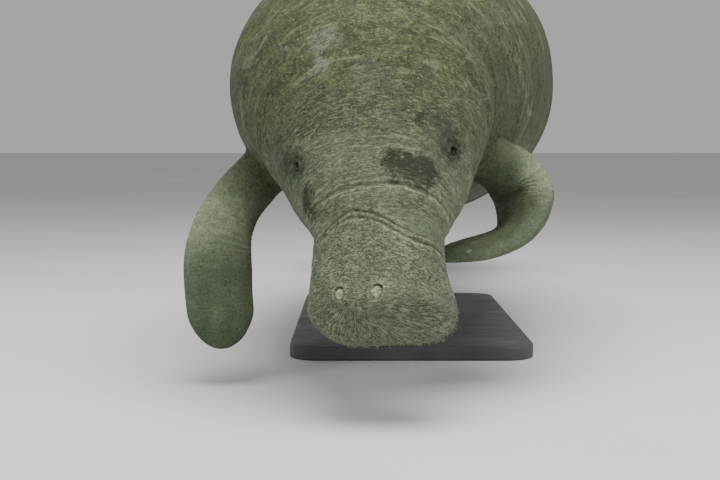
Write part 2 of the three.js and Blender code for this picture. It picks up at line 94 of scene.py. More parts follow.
# Place, half width, rise, drop, squareness
MUZZLE = [(0, 0.46, 0.46, 0.47, 2.9), (60, 0.5, 0.5, 0.52, 2.8), (120, 0.49, 0.5, 0.51, 2.6)]
MUZZLE += [(175, 0.49, 0.505, 0.56, 2.4)]
HEAD = [(210, 120, 95, 106, 2.3), (255, 140, 108, 122, 2.2), (300, 160, 123, 138, 2.15)]
HEAD += [(350, 182, 141, 155, 2.1), (420, 208, 167, 176, 2.1)]
TRUNK = [(510, 0.325, 0.33, 0.34, 2.05), (620, 0.378, 0.38, 0.39, 2.05), (800, 0.445, 0.442, 0.452, 2.1)]
TRUNK += [(1000, 0.485, 0.485, 0.49, 2.15), (1200, 0.5, 0.5, 0.5, 2.15), (1400, 0.494, 0.49, 0.486, 2.15)]
TRUNK += [(1600, 0.46, 0.452, 0.446, 2.1), (1800, 0.4, 0.386, 0.38, 2.1), (2000, 0.322, 0.3, 0.3, 2.05)]
TRUNK += [(2150, 0.262, 0.232, 0.23, 2.0)]
STOCK = [(2290, 0.5, 0.5, 0.49, 2.0), (2390, 0.6, 0.36, 0.35, 2.0)]
PADDLE = [(2490, 0.41, 0.74, 0.72, 2.0), (2600, 0.478, 0.5, 0.5, 2.0), (2710, 0.5, 0.4, 0.4, 2.0)]
PADDLE += [(2850, 0.5, 0.3, 0.3, 2.0), (3000, 0.5, 0.2, 0.2, 2.0)]
SECTIONS = [*in_sizes(MUZZLE_WIDTH, MUZZLE_DEPTH, MUZZLE), *HEAD, *in_sizes(TRUNK_WIDTH, TRUNK_DEPTH, TRUNK)]
SECTIONS += [*in_sizes(STOCK_WIDTH, STOCK_DEPTH, STOCK), *in_sizes(PADDLE_WIDTH, PADDLE_THICKNESS, PADDLE)]


def through(pairs, free=False):
    """A smooth curve through (place, value) pairs. It never overshoots them unless it is free."""
    x = np.array([p[0] for p in pairs], float)
    y = np.array([p[1] for p in pairs], float)
    rise = np.diff(y) / np.diff(x)
    slope = np.empty(len(x))
    slope[0], slope[-1] = rise[0], rise[-1]
    for i in range(1, len(x) - 1):
        before, after = rise[i - 1], rise[i]
        if free:
            slope[i] = (y[i + 1] - y[i - 1]) / (x[i + 1] - x[i - 1])
        else:
            slope[i] = 0 if before * after <= 0 else 2 * before * after / (before + after)

    def curve(at):
        inside = np.clip(np.asarray(at, float), x[0], x[-1])
        i = np.clip(np.searchsorted(x, inside, side="left") - 1, 0, len(x) - 2)
        step = x[i + 1] - x[i]
        t = (inside - x[i]) / step
        left = y[i] + slope[i] * step * t
        right = y[i + 1] - slope[i + 1] * step * (1 - t)
        blend = t * t * (3 - 2 * t)
        return left * (1 - blend) + right * blend

    return curve


def column_curves(rows, columns, free=False):
    """A smooth curve for each of the columns, over the first column of a table."""
    return [through([(row[0], row[k]) for row in rows], free) for k in columns]


pitch_at, yaw_at, roll_at = through(PITCH), through(YAW), through(ROLL)
half_at, rise_at, drop_at, square_at = column_curves(SECTIONS, (1, 2, 3, 4))


def smoothstep(x, low, high):
    t = np.clip((x - low) / (high - low), 0, 1)
    return t * t * (3 - 2 * t)


def bell(distance, width):
    return np.exp(-((distance / width) ** 2))


def unit(v):
    return v / np.maximum(np.linalg.norm(v, axis=-1, keepdims=True), 1e-12)


def frame_at(place):
    """Unit directions at places along the spine line: to the tail, to the animal's left, and up."""
    pitch, yaw, roll = np.radians(pitch_at(place)), np.radians(yaw_at(place)), np.radians(roll_at(place))
    tail = np.stack([np.sin(yaw) * np.cos(pitch), np.cos(yaw) * np.cos(pitch), np.sin(pitch)], -1)
    level = np.stack([np.cos(yaw), -np.sin(yaw), np.zeros_like(yaw)], -1)
    above = np.cross(level, tail)
    left = level * np.cos(roll)[..., None] + above * np.sin(roll)[..., None]
    return tail, left, np.cross(left, tail)


spine_places = np.arange(0, LENGTH + SPINE_STEP, SPINE_STEP, dtype=float)
spine_steps = frame_at(spine_places[:-1] + SPINE_STEP / 2)[0] * SPINE_STEP
spine_points = np.vstack([np.zeros(3), np.cumsum(spine_steps, axis=0)])
spine_points += SPINE_ANCHOR - spine_points[SPINE_ANCHOR_PLACE // SPINE_STEP]


def spine_at(place):
    return np.stack([np.interp(place, spine_places, spine_points[:, k]) for k in range(3)], -1)


def openness(place):
    """Share of a section's full size, which closes in at the snout and at the paddle's end."""
    nose = np.clip(1 - place / SNOUT_ROUND, 0, 1)
    front = (1 - nose**SNOUT_ROUND_POWER) ** (1 / SNOUT_ROUND_POWER)
    end = np.clip((place - LENGTH + PADDLE_ROUND) / PADDLE_ROUND, 0, 1)
    return front * np.sqrt(1 - end**PADDLE_ROUND_POWER)


def smooth_point(place, angle):
    """Point of the smooth body, at a place along it and an angle from the animal's left over its back."""
    _, left, up = frame_at(place)
    power = 2 / square_at(place)
    across, above = np.cos(angle), np.sin(angle)
    height = np.where(above > 0, rise_at(place), drop_at(place))
    open_ = openness(place)
    x = open_ * half_at(place) * np.sign(across) * np.abs(across) ** power
    z = open_ * height * np.sign(above) * np.abs(above) ** power
    return spine_at(place) + left * x[..., None] + up * z[..., None]


NORMAL_STEP, NORMAL_TURN = 1, 0.01
END_GAP = 0.5


def smooth_normal(place, angle):
    near = np.maximum(place - NORMAL_STEP, END_GAP)
    far = np.minimum(place + NORMAL_STEP, LENGTH - END_GAP)
    along = smooth_point(far, angle) - smooth_point(near, angle)
    around = smooth_point(place, angle + NORMAL_TURN) - smooth_point(place, angle - NORMAL_TURN)
    return unit(np.cross(along, around))


def one(function, at, degrees):
    return function(np.array([float(at)]), np.array([math.radians(degrees)]))[0]


def local_axes(at, degrees):
    """Point on the smooth skin, and directions there: to the tail, across the body, and outward."""
    point = one(smooth_point, at, degrees)
    out = one(smooth_normal, at, degrees)
    tail = one(smooth_point, at + 2, degrees) - one(smooth_point, at - 2, degrees)
    tail = unit(tail - out * tail.dot(out))
    return point, tail, np.cross(tail, out), out


def away_from(at, degrees, point):
    return np.linalg.norm(point - one(smooth_point, at, degrees), axis=-1)


def seen_from(at, degrees, point):
    """How far points lie across the body and towards the tail from a spot of the skin."""
    centre, tail, across, _ = local_axes(at, degrees)
    return (point - centre) @ across, (point - centre) @ tail


class Noise:
    """Smooth seeded noise between -1 and 1, from a lattice of random values."""

    def __init__(self, seed, size=48):
        self.size = size
        self.table = np.random.default_rng(seed).uniform(-1, 1, (size, size, size))

    def __call__(self, p):
        base = np.floor(p).astype(int)
        t = p - base
        t = t * t * (3 - 2 * t)
        total = 0
        for corner in range(8):
            bits = np.array([corner & 1, (corner >> 1) & 1, corner >> 2])
            i = (base + bits) % self.size
            weight = np.prod(np.where(bits, t, 1 - t), axis=-1)
            total = total + weight * self.table[i[..., 0], i[..., 1], i[..., 2]]
        return total


big, middle, small = Noise(11), Noise(12), Noise(13)

# Eyes and nostrils, as in the solids: place, degrees
EYES = {"left": (295, 31), "right": (292, 151)}
NOSTRILS = {"left": (52, 79.5), "right": (54, 99)}

# Turn and size of each nostril, half axes of its rim and its valve, and its rings as shares of the rim
NOSTRIL_FORMS = {"left": (0.3, 1.0), "right": (-0.3, 0.88)}
NOSTRIL_HALVES = (11.6, 14)
VALVE_HALVES = (10, 12.5)
VALVE_DROP = 1.5
NOSTRIL_REACH = 45
RIM_RING = 1.14
SLIT_RING = 0.84

# Round swellings: place, degrees, height, width
SWELLINGS = [(48, -22, 20, 58), (48, 202, 7, 52), (275, -28, 9, 62), (275, 208, 9, 62)]
SWELLINGS += [(345, 36, 7, 34), (342, 146, 7, 34)]
SWELLINGS += [(*spot, -11, 27) for spot in EYES.values()] + [(*spot, 3, 20) for spot in NOSTRILS.values()]

# Creases: place, lean forward at the sides, depth, width. The main crease, one arched groove in the solids,
# is here two lines that pass each other. A shallow one is strongest at the left.
CREASES = [(182, 46, 4.5, 7), (227, 16, 3.5, 7), (288, 22, 1.5, 8), (425, 10, 6, 16), (512, 0, 5, 18)]
MAIN_CREASE = CREASES[0]
HEAD_CREASES = CREASES[:3]
HEAD_CREASE_WIDEST = 10
ARCH_RIDGE = math.radians(100)
ARCH_SPREAD = 0.54
CREASE_STEP = 10
SHALLOW_DEPTH = 2
SHALLOW_DEGREES = 62
FINE_CREASE = 6.5
FINE_CREASE_REACH = 15

# Wrinkles run further forward at the sides
WRINKLE_LEAN = 20

# Mouth: how far the lip line reaches round from the belly side, and where it starts and ends
MOUTH_SPREAD = math.radians(64)
MOUTH_FRONT, MOUTH_CORNER = 30, 158

# Rings round the eyes: the lid's rim, the opening's edge, and folds as (radius, depth)
LID_RING = 10.2
EYE_OPENING = (5.4, 7.4)
EYE_FOLDS = ((17.5, 1.1), (23, 0.9), (30, 0.7))
EYE_REACH = 60


def arch(angle):
    """How far the main crease has dropped beside the muzzle's ridge, from 0 to 1."""
    return 1 - bell(np.sin(angle - ARCH_RIDGE), ARCH_SPREAD)


def crease_lines(creases, place, angle):
    """Distance behind each crease, its depth, width and share."""
    degrees = np.degrees(angle)
    for crease in creases:
        at, lean, deep, wide = crease
        if crease == MAIN_CREASE:
            off = place - at + lean * arch(angle)
            yield off, deep, wide, 1 - 0.4 * smoothstep(degrees, 96, 122)
            over_top = smoothstep(degrees, 44, 70) * (1 - smoothstep(degrees, 140, 170))
            yield off - CREASE_STEP, deep * 0.8, wide, over_top
        else:
            yield place - at + lean * np.cos(angle) ** 2, deep, wide, np.ones_like(place)


def leaning(place, angle):
    return place + WRINKLE_LEAN * np.cos(angle) ** 2


def waver_at(point):
    """How far creases and patches wander, in millimetres."""
    return 3.0 * middle(point / 45) + 1.2 * small(point / 14)


def mouth(place, angle):
    """Signed distance behind the lip line, and the weight of the mouth there."""
    from_belly = np.abs((angle + math.pi / 2 + math.pi) % (2 * math.pi) - math.pi)
    share = from_belly / MOUTH_SPREAD
    line = MOUTH_FRONT + (MOUTH_CORNER - MOUTH_FRONT) * np.clip(share, 0, 1.2) ** 1.8
    weight = 1 - smoothstep(share, 0.9, 1.1)
    return place - line, weight


def nostril(side, point):
    """Of a nostril: nearness, distance from its middle in rims, the upper edge's weight, and the valve's."""
    turn, size = NOSTRIL_FORMS[side]
    u, v = seen_from(*NOSTRILS[side], point)
    u, v = u * math.cos(turn) - v * math.sin(turn), u * math.sin(turn) + v * math.cos(turn)
    u = u + 1.1 * middle(point / 9)
    near = away_from(*NOSTRILS[side], point) < NOSTRIL_REACH
    ring = np.sqrt((u / NOSTRIL_HALVES[0]) ** 2 + (v / NOSTRIL_HALVES[1]) ** 2) / size
    upper = 1 - smoothstep(np.abs(np.arctan2(u, v)), 0.4, 1.2)
    valve_ring = np.sqrt((u / VALVE_HALVES[0]) ** 2 + ((v + VALVE_DROP) / VALVE_HALVES[1]) ** 2) / size
    return near, ring, upper, 1 - smoothstep(valve_ring, 0.4, 1.0)


def add_creases(out, place, angle, point, top_side):
    waver = waver_at(point)
    for off, deep, wide, share in crease_lines(CREASES, place, angle):
        off = off + waver * 0.8
        on_head = wide < HEAD_CREASE_WIDEST
        narrow = wide * 0.3 if on_head else wide * 0.8
        strength = share * top_side * (0.7 if on_head else 0.25 + 0.75 * np.cos(angle) ** 2)
        if deep < SHALLOW_DEPTH:
            strength = strength * (0.25 + 0.9 * bell(np.degrees(angle) - SHALLOW_DEGREES, 30))
        out -= strength * deep * (bell(off, narrow) - 0.3 * bell(np.abs(off) - 1.6 * wide, wide))
        if on_head:
            out += 0.55 * strength * bell(off, FINE_CREASE_REACH) * np.cos(off * 2 * math.pi / FINE_CREASE)


def add_swellings(out, point):
    for at, degrees, high, wide in SWELLINGS:
        out += high * bell(away_from(at, degrees, point), wide)


def add_wrinkles(out, place, angle, point, top_side):
    """Fine creases round the head and soft folds of the neck, which break and join, and low lumps."""
    head = smoothstep(place, 192, 215) * (1 - smoothstep(place, 340, 460))
    neck = smoothstep(place, 330, 430) * (1 - smoothstep(place, 760, 1000))
    along = leaning(place, angle)
    stretched = np.stack([along, point[..., 0] / 4, point[..., 2] / 4], -1)
    fine = np.sin(2 * math.pi * (along / 9 + 1.6 * small(stretched / 8) + 1.2 * big(point / 60)))
    fold = np.sin(2 * math.pi * (along / 34 + 1.1 * small(stretched / 26) + 1.3 * big(point / 150)))
    broken = smoothstep(middle(point / 28), -0.35, 0.35)
    out -= top_side * head * 0.42 * broken * np.maximum(fine, 0) ** 2
    out -= neck * 1.5 * smoothstep(big(point / 85), -0.3, 0.4) * np.maximum(fold, 0) ** 4
    out += (0.8 + 1.8 * smoothstep(place, 500, 900)) * big(point / 130) * smoothstep(place, 180, 400)
    out += 0.45 * middle(point / 30) + 0.35 * small(point / 11) * smoothstep(place, 150, 240)


def add_pebbles(out, place, point):
    """Pebbled skin of the muzzle, with worm-like ridges above its front."""
    muzzle = 1 - smoothstep(place, 165, 200)
    worm = np.sin(2 * math.pi * (place / 5.6 + 1.5 * small(point / 9) + 0.9 * big(point / 26)))
    pebbles = muzzle * (0.3 * small(point / 4.6) + 0.4 * middle(point / 11))
    out += pebbles - muzzle * 0.28 * worm * smoothstep(place, 58, 84)


def add_mouth(out, place, angle):
    """A groove under the lip, and the jaw a little inside it."""
    behind, weight = mouth(place, angle)
    out -= weight * 13 * bell(behind, 4.5)
    out -= weight * 7 * smoothstep(behind, 0, 8) * (1 - smoothstep(place, 130, 210))
    out += weight * 3 * bell(behind + 13, 8)


def add_nostrils(out, point):
    """A raised rim, a deep slit under its upper edge, a shallow one below, and a low domed valve."""
    for side in NOSTRILS:
        near, ring, upper, _ = nostril(side, point)
        out += near * 1.5 * (0.45 + 0.55 * upper) * bell(ring - RIM_RING, 0.22)
        out -= near * 3.6 * upper**1.5 * bell(ring - SLIT_RING, 0.13)
        out -= near * 0.7 * (1 - upper) * bell(ring - 0.82, 0.14)
        out += near * (0.9 * bell(ring, 0.6) + 0.5 * small(point / 3.6) * bell(ring, 0.8))


def add_eyelids(out, point):
    """A puckered rim round each eye's opening, and folds in rings about it."""
    for spot in EYES.values():
        u, v = seen_from(*spot, point)
        near = away_from(*spot, point) < EYE_REACH
        ring = np.sqrt(u**2 + (v * 0.92) ** 2)
        pucker = 0.35 * np.sin(np.arctan2(u, v) * 17 + 0.4 * ring) * bell(ring - 15, 6)
        out += near * (5.6 * bell(ring - LID_RING, 3.0) - 5 * (1 - smoothstep(ring, *EYE_OPENING)) + pucker)
        for radius, deep in EYE_FOLDS:
            out -= near * deep * bell(ring - radius - 1.5 * middle(point / 16), 1.5)


def relief(place, angle, point):
    """How far the skin stands out from the smooth body, in millimetres."""
    out = np.zeros_like(place)
    top_side = smoothstep(np.sin(angle), -0.75, 0.1)
    add_creases(out, place, angle, point, top_side)
    add_swellings(out, point)
    add_wrinkles(out, place, angle, point, top_side)
    add_pebbles(out, place, point)
    add_mouth(out, place, angle)
    add_nostrils(out, point)
    add_eyelids(out, point)
    return out


def body_point(place, angle):
    point = smooth_point(place, angle)
    return point + smooth_normal(place, angle) * relief(place, angle, point)[..., None]


def spaced(stretches):
    """Places from stretches of (from, to, most)."""
    places = []
    for start, end, most in stretches:
        places.extend(np.linspace(start, end, math.ceil((end - start) / most), endpoint=False))
    return np.array(places)


def crowded(count, spots):
    """Angles round the body, closer together at each (degrees, spread, share)."""
    fine = np.linspace(-math.pi / 2, 1.5 * math.pi, 7201)
    density = np.ones_like(fine)
    for degrees, spread, share in spots:
        off = (fine - math.radians(degrees) + math.pi) % (2 * math.pi) - math.pi
        density += share * bell(off, math.radians(spread))
    total = np.concatenate([[0], np.cumsum((density[1:] + density[:-1]) / 2)])
    return np.interp(np.arange(count) / count * total[-1], total, fine)


def new_piece(name, points, faces):
    """A linked object with a mesh of these points, in metres, and faces."""
    mesh = bpy.data.meshes.new(name)
    mesh.from_pydata(points.tolist(), [], faces)
    mesh.validate()
    piece = bpy.data.objects.new(name, mesh)
    bpy.context.scene.collection.objects.link(piece)
    return piece


def tube(name, rings, closed_ends):
    """A mesh from rings of points (rings, count, 3), closed by a point at each end."""
    rows, count = rings.shape[:2]
    points = np.vstack([rings.reshape(-1, 3), closed_ends]) * MM
    j = np.arange(count)
    k = (j + 1) % count
    quads = []
    for i in range(rows - 1):
        a, b = i * count, (i + 1) * count
        quads.append(np.stack([a + j, b + j, b + k, a + k], -1))
    faces = np.vstack(quads).tolist()
    first, last = rows * count, rows * count + 1
    faces += [[first, int(x), int(y)] for x, y in zip(j, k)]
    base = (rows - 1) * count
    faces += [[last, base + int(y), base + int(x)] for x, y in zip(j, k)]
    return new_piece(name, points, faces)


# Body. Rings crowd together at both rounded ends and over the features of the head.
ROUND_RINGS = 26
NOSE_END = 29
NOSE_HOLE = 0.12
TIP_LENGTH = 120
TIP_HOLE = 0.06
BODY_STRETCHES = [(NOSE_END, 82, 1.4), (82, 112, 2.4), (112, 245, 1.5), (245, 268, 2.4), (268, 322, 1.7)]
BODY_STRETCHES += [(322, 440, 3.4), (440, 700, 6), (700, 2300, 13), (2300, 2880, 10)]
BODY_POINTS_ROUND = 352
CROWDS = [(31, 7, 2.2), (149, 7, 2.2), (79, 7, 1.6), (99, 7, 1.6), (-90, 40, 0.5)]

nose_turns = np.linspace(NOSE_HOLE, math.pi / 2, ROUND_RINGS)[:-1]
nose_places = SNOUT_ROUND * (1 - np.cos(nose_turns))
tip_turns = np.linspace(math.asin(1 - TIP_LENGTH / PADDLE_ROUND), math.pi / 2 - TIP_HOLE, ROUND_RINGS)
tip_places = LENGTH - PADDLE_ROUND * (1 - np.sin(tip_turns))
body_places = np.concatenate([nose_places[nose_places < NOSE_END], spaced(BODY_STRETCHES), tip_places])
grid_place, grid_angle = np.meshgrid(body_places, crowded(BODY_POINTS_ROUND, CROWDS), indexing="ij")
body_ends = np.stack([spine_at(0.0), spine_at(float(LENGTH))])
body = tube("skin", body_point(grid_place, grid_angle), body_ends)

# Flippers, as in the solids, but whole
FLIPPER_END = 440
FLIPPER_ROUND = 90
FLIPPER_ROUND_POWER = 2.3
FLIPPER_HALF_WIDTH = [(0, 56), (100, 52), (180, 56), (280, 64), (340, 63), (400, 56), (FLIPPER_END, 46)]
FLIPPER_HALF_THICKNESS = [(0, 44), (100, 40), (200, 29), (300, 20), (FLIPPER_END, 13)]
ELBOW = 200
ELBOW_LENGTH = 85
BENDS = [(190, 1.0), (60, 0.8)]
BEND_LENGTH = 60
WRINKLE_STEP = 13
FINGER_SPAN = 66
FINGER_WAVES = 3.2
LIMB_RING_STEP = 4.0
LIMB_POINTS_ROUND = 84
LIMB_HOLE = 0.1
PATH_SOFTENING = range(-36, 37, 12)
PATH_END_REACH = 40
AXIS_STEP = 4
NOISE_SHIFT = 7.3

# Centre lines: place along the flipper, x, y, z
LEFT_PATH = [(0, 50, -690, 430), (85, 130, -668, 422), (150, 180, -652, 396), (205, 210, -655, 352)]
LEFT_PATH += [(265, 202, -688, 301), (345, 150, -742, 267), (FLIPPER_END, 28, -824, 244)]
RIGHT_PATH = [(0, -270, -580, 430), (90, -325, -640, 370), (170, -368, -690, 305)]
RIGHT_PATH += [(250, -380, -725, 230), (350, -373, -755, 142), (FLIPPER_END, -368, -770, 68)]

# Directions of the flippers' width: place along the flipper, x, y, z
LEFT_TURNS = [(0, -0.3, 0.93, -0.2), (205, -0.5, 0.76, -0.38), (265, -0.55, 0.75, -0.38)]
LEFT_TURNS += [(345, -0.6, 0.75, 0), (FLIPPER_END, -0.5, 0.8, 0.2)]
RIGHT_TURNS = [(0, 0.75, 0.2, -0.45), (170, 0.93, 0.15, -0.25), (FLIPPER_END, 1, 0.1, 0)]

# Centre line, turns, and how much the elbow bulges
FLIPPERS = {"left": (LEFT_PATH, LEFT_TURNS, 0.7), "right": (RIGHT_PATH, RIGHT_TURNS, 0.1)}
flipper_half_width = through(FLIPPER_HALF_WIDTH)
flipper_half_thick = through(FLIPPER_HALF_THICKNESS)


def limb(path, turns):
    """Functions for a flipper's centre line, with soft bends, and for its width's and flat's directions."""
    path_curves = column_curves(path, (1, 2, 3), True)
    turn_curves = column_curves(turns, (1, 2, 3), True)

    def point_at(at):
        at = np.asarray(at, float)
        reach = np.minimum(1, np.minimum(at, FLIPPER_END - at) / PATH_END_REACH)
        spread = [at + offset * reach for offset in PATH_SOFTENING]
        return np.mean([np.stack([f(place) for f in path_curves], -1) for place in spread], axis=0)

    def axes(at):
        ahead, behind = np.minimum(at + AXIS_STEP, FLIPPER_END), np.maximum(at - AXIS_STEP, 0)
        along = unit(point_at(ahead) - point_at(behind))
        across = np.stack([f(at) for f in turn_curves], -1)
        across = unit(across - along * np.sum(across * along, -1, keepdims=True))
        return across, np.cross(across, along)

    return point_at, axes


def limb_rings(side, places, angles, shift):
    """Rings of points round a flipper, wrinkled at its bends, and its ends. The shift moves its noise."""
    path, turns, elbow_bulk = FLIPPERS[side]
    point_at, axes = limb(path, turns)
    at, turn = np.meshgrid(places, angles, indexing="ij")
    across, out = axes(at)
    half_width, half_thick = flipper_half_width(at), flipper_half_thick(at)
    end = np.clip((at - FLIPPER_END + FLIPPER_ROUND) / FLIPPER_ROUND, 0, 1)
    open_ = (1 - end**FLIPPER_ROUND_POWER) ** (1 / FLIPPER_ROUND_POWER)
    bulk = elbow_bulk * bell(at - ELBOW, ELBOW_LENGTH)
    x = open_ * (1 + 0.3 * bulk) * half_width * np.cos(turn)
    z = np.sqrt(open_) * (1 + bulk) * half_thick * np.sin(turn)
    smooth = point_at(at) + across * x[..., None] + out * z[..., None]
    flat_part, edge_part = (np.cos(turn) / half_width)[..., None], (np.sin(turn) / half_thick)[..., None]
    normal = unit(across * flat_part + out * edge_part)
    waver = 3 * middle(smooth / 40 + shift) + small(smooth / 13)
    wrinkle = np.sin(2 * math.pi * (at + 2.2 * waver) / WRINKLE_STEP)
    bend = sum(strength * bell(at - place, BEND_LENGTH) for place, strength in BENDS)
    high = -bend * 1.1 * np.maximum(wrinkle, 0) ** 2 + 0.7 * middle(smooth / 35) + 0.3 * small(smooth / 10)
    # Low ridges of the finger bones under the skin of the blade
    blade = smoothstep(at, 250, 320) * (1 - smoothstep(at, 400, 436))
    high += blade * 1.3 * np.cos(x / FINGER_SPAN * math.pi * FINGER_WAVES) * np.abs(np.sin(turn))
    return smooth + normal * high[..., None], np.stack([point_at(0.0), point_at(float(FLIPPER_END))])


tip_turns = np.linspace(0, math.pi / 2 - LIMB_HOLE, ROUND_RINGS)
tip_places = FLIPPER_END - FLIPPER_ROUND * (1 - np.sin(tip_turns))
limb_places = np.concatenate([np.arange(0, FLIPPER_END - FLIPPER_ROUND, LIMB_RING_STEP), tip_places])
limb_angles = np.linspace(0, 2 * math.pi, LIMB_POINTS_ROUND, endpoint=False)
flippers = []
for index, side in enumerate(FLIPPERS):
    rings, ends = limb_rings(side, limb_places, limb_angles, NOISE_SHIFT * index)
    flippers.append(tube(f"flipper_{side}", rings, ends))


def turn_outward(piece):
    """Turns a closed mesh's faces outward."""
    work = bmesh.new()
    work.from_mesh(piece.data)
    if work.calc_volume(signed=True) < 0:
        bmesh.ops.reverse_faces(work, faces=work.faces[:])
    work.to_mesh(piece.data)
    work.free()


def coordinates(mesh):
    flat = np.empty(len(mesh.vertices) * 3)
    mesh.vertices.foreach_get("co", flat)
    return flat.reshape(-1, 3)


def tree_of(points):
    tree = KDTree(len(points))
    for i, p in enumerate(points):
        tree.insert(p, i)
    tree.balance()
    return tree


for piece in (body, *flippers):
    turn_outward(piece)
body_known = coordinates(body.data)
limbs_known = [coordinates(piece.data) for piece in flippers]

for piece in flippers:
    join = body.modifiers.new("join", "BOOLEAN")
    join.operation = "UNION"
    join.solver = "MANIFOLD"
    join.object = piece
    bpy.context.view_layer.update()
    evaluated = body.evaluated_get(bpy.context.evaluated_depsgraph_get())
    joined = bpy.data.meshes.new_from_object(evaluated)
    body.modifiers.clear()
    body.data = joined
    bpy.data.objects.remove(piece)

# Smooths the skin where the flippers grow from it
SAME_POINT = 2e-6
SEAM_NEAR, SEAM_FAR = 0.004, 0.045
SMOOTHING_ROUNDS = 60

points = coordinates(body.data)
whole = tree_of(np.vstack([body_known, *limbs_known]))
nearest = [whole.find(p) for p in points]
source = np.array([n[1] for n in nearest])
is_new = np.array([n[2] for n in nearest]) > SAME_POINT
seam = tree_of(points[is_new])
seam_distance = np.array([seam.find(p)[2] for p in points])
edges = np.empty(len(body.data.edges) * 2, dtype=np.int64)
body.data.edges.foreach_get("vertices", edges)
starts, ends = edges.reshape(-1, 2).T
valence = np.bincount(edges, minlength=len(points)).astype(float)
pull = (1 - smoothstep(seam_distance, SEAM_NEAR, SEAM_FAR))[:, None]
for _ in range(SMOOTHING_ROUNDS):
    total = np.zeros_like(points)
    for k in range(3):
        total[:, k] = np.bincount(starts, points[ends, k], len(points))
        total[:, k] += np.bincount(ends, points[starts, k], len(points))
    points = points + pull * 0.5 * (total / valence[:, None] - points)
body.data.vertices.foreach_set("co", points.ravel())
body.data.update()

# What the skin's colours need to know at each point. Points of the limbs are given a place on the trunk.
LIMB_PLACE = 650.0
LIMB_ALONG = 5000
place_of = np.concatenate([grid_place.ravel(), [0.0, LENGTH]])
angle_of = np.concatenate([grid_angle.ravel(), [0.0, 0.0]])
is_body = source < len(body_known)
body_index = np.where(is_body, source, 0)
place = np.where(is_body, place_of[body_index], LIMB_PLACE)
angle = np.where(is_body, angle_of[body_index], 0.0)
limb_index = np.where(is_body, 0, (source - len(body_known)) % len(limbs_known[0]))
limb_row = np.clip(limb_index // len(limb_angles), 0, len(limb_places) - 1)
along_limb = np.where(is_body, 0.0, limb_places[limb_row])
smooth_mm = points / MM
waver = waver_at(smooth_mm)

# Round marks: place, degrees, width, share
# The socket marks are painted shade of the deep-set eye sockets, over darker skin there
SOCKET_MARKS = [(292, 36, 42, 1), (322, 46, 24, 0.7), (303, 158, 40, 1)]
STAIN_MARKS = [(246, 68, 34, 1), (252, 52, 26, 1), (262, 78, 20, 1), (240, 151, 24, 1), (215, 153, 18, 1)]
STAIN_MARKS += [(325, 62, 20, 0.8), (222, 47, 18, 0.7)]
WORN_MARKS = [(459, 107, 24, 1), (463, 113, 24, 1), (409, 114, 20, 1), (420, 112, 14, 1)]
WORN_MARKS += [(411, 58, 14, 0.8), (327, 77, 5, 1)]

# Where rays start that spread over the muzzle's front: place, degrees
RAYS_FROM = (60, 89.5)


def round_marks(rows):
    return sum(share * bell(away_from(at, degrees, smooth_mm), wide) for at, degrees, wide, share in rows)


def on_body(values, on_limb=0.0):
    return np.where(is_body, values, on_limb)


def brow_highlights():
    """Painted highlights on the brow folds, as pale arcs on the tail side of each eye."""
    total = np.zeros(len(points))
    for spot in EYES.values():
        away = away_from(*spot, smooth_mm)
        outer = (seen_from(*spot, smooth_mm)[1] + 18) / np.maximum(away, 1)
        total += bell(away - 40, 9) * smoothstep(outer, -0.1, 0.8)
        total += 0.6 * bell(away - 27, 3) * smoothstep(outer, -0.4, 0.4)
    return total


def crease_light_and_shade():
    """Painted highlights on the crests beside the head's creases, and painted shade in their bottoms."""
    ridge, valley_shade = np.zeros(len(points)), np.zeros(len(points))
    for off, deep, wide, share in crease_lines(HEAD_CREASES, place, angle):
        off = off + waver * 0.8
        upper = share * smoothstep(np.sin(angle), -0.5, 0.2) * is_body
        if deep < SHALLOW_DEPTH:
            upper = upper * 0.7 * bell(np.degrees(angle) - SHALLOW_DEGREES, 26)
        behind, ahead = bell(off - 0.62 * wide, wide * 0.3), bell(off + 0.85 * wide, wide * 0.42)
        ridge += upper * (0.7 * behind + 0.8 * ahead)
        fine = np.maximum(np.cos(off * 2 * math.pi / FINE_CREASE), 0)
        ridge += upper * 0.5 * bell(off, FINE_CREASE_REACH) * fine
        valley_shade += upper * bell(off, wide * 0.2)
    return ridge, valley_shade


def nostril_marks():
    """Pale valves and rims of the nostrils, and painted shade in each nostril's slit."""
    plug, slit_shades = np.zeros(len(points)), np.zeros(len(points))
    for side in NOSTRILS:
        near, ring, upper, valve = nostril(side, smooth_mm)
        plug += near * valve * (1 - upper * smoothstep(ring, 0.6, 0.78))
        plug += 0.42 * near * (0.6 + 0.4 * upper) * bell(ring - RIM_RING, 0.17)
        lower_slit = 0.22 * (1 - upper) * bell(ring - 0.86, 0.1)
        slit_shades += near * (0.9 * upper * bell(ring - SLIT_RING, 0.1) + lower_slit)
    return plug, slit_shades


